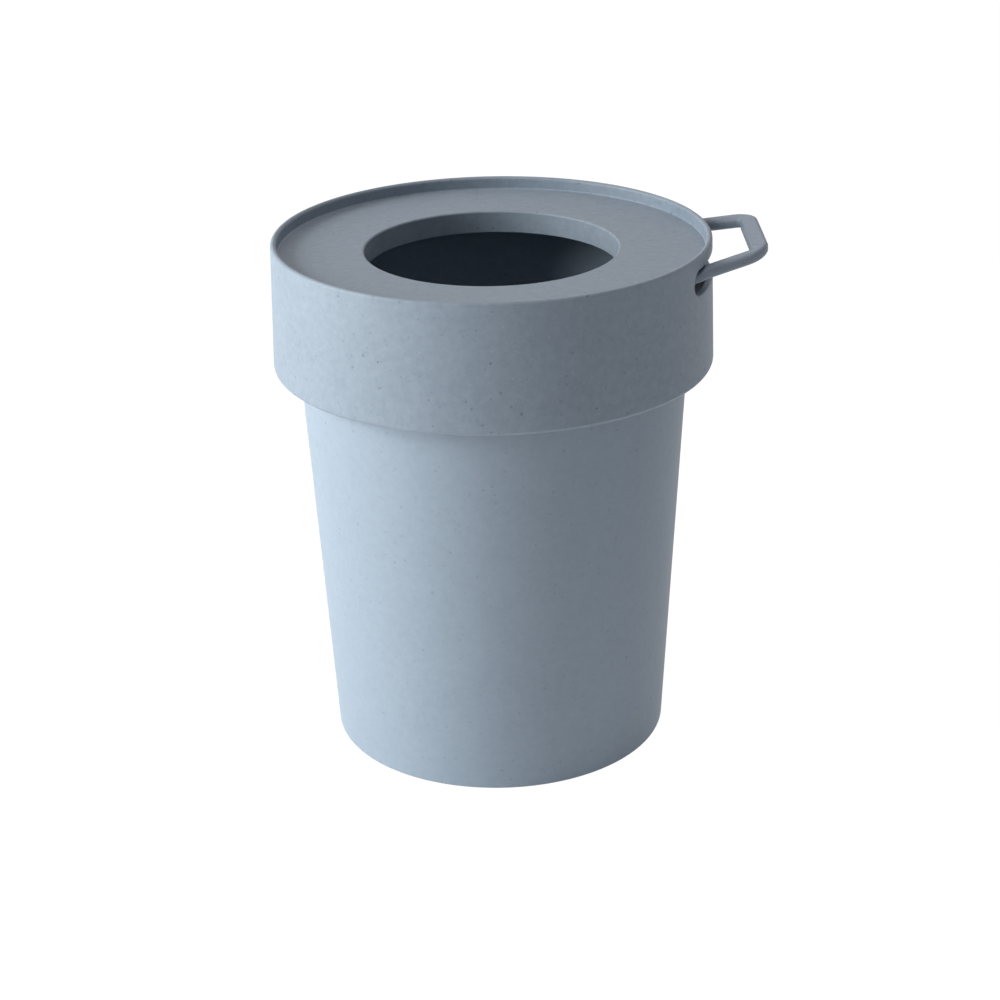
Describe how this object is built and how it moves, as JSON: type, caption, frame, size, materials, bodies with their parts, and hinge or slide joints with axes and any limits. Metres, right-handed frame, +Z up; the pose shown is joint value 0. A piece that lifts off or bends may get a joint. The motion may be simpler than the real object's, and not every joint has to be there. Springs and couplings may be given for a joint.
{
  "type": "waste bin",
  "caption": "Round tapered waste bin with a lift-off cover: a deep skirt hides the bag, a recessed disc has a drop hole, and a hinged loop handle passes through a slot.",
  "frame": {"origin": "middle of the flat base, on the floor", "axes": "+Z up along the bucket's axis, +X towards the loop handle"},
  "size_m": [0.2474, 0.2232, 0.2677],
  "materials": {
    "bucket_plastic": "blue-grey fibre-filled plastic, satin, with sparse dark flecks",
    "cover_plastic": "blue-grey fibre-filled plastic, satin, with sparse dark flecks",
    "loop_plastic": "blue-grey fibre-filled plastic, satin, with sparse dark flecks",
    "rod_steel": "drawn stainless steel"
  },
  "bodies": {
    "bucket": {"bucket": "bucket_plastic"},
    "cover": {"cover": "cover_plastic", "hinge_rod": "rod_steel"},
    "loop": {"loop_handle": "loop_plastic"}
  },
  "joints": [
    {"name": "cover_lift", "type": "slide", "parent": "bucket", "child": "cover", "axis": [0, 0, 1], "range_m": [0, 0.09]},
    {"name": "loop_swing", "type": "hinge", "parent": "cover", "child": "loop", "pos_m": [0.08949, 0, 0.25445], "axis": [0, 1, 0], "range_deg": [0, 24]}
  ]
}
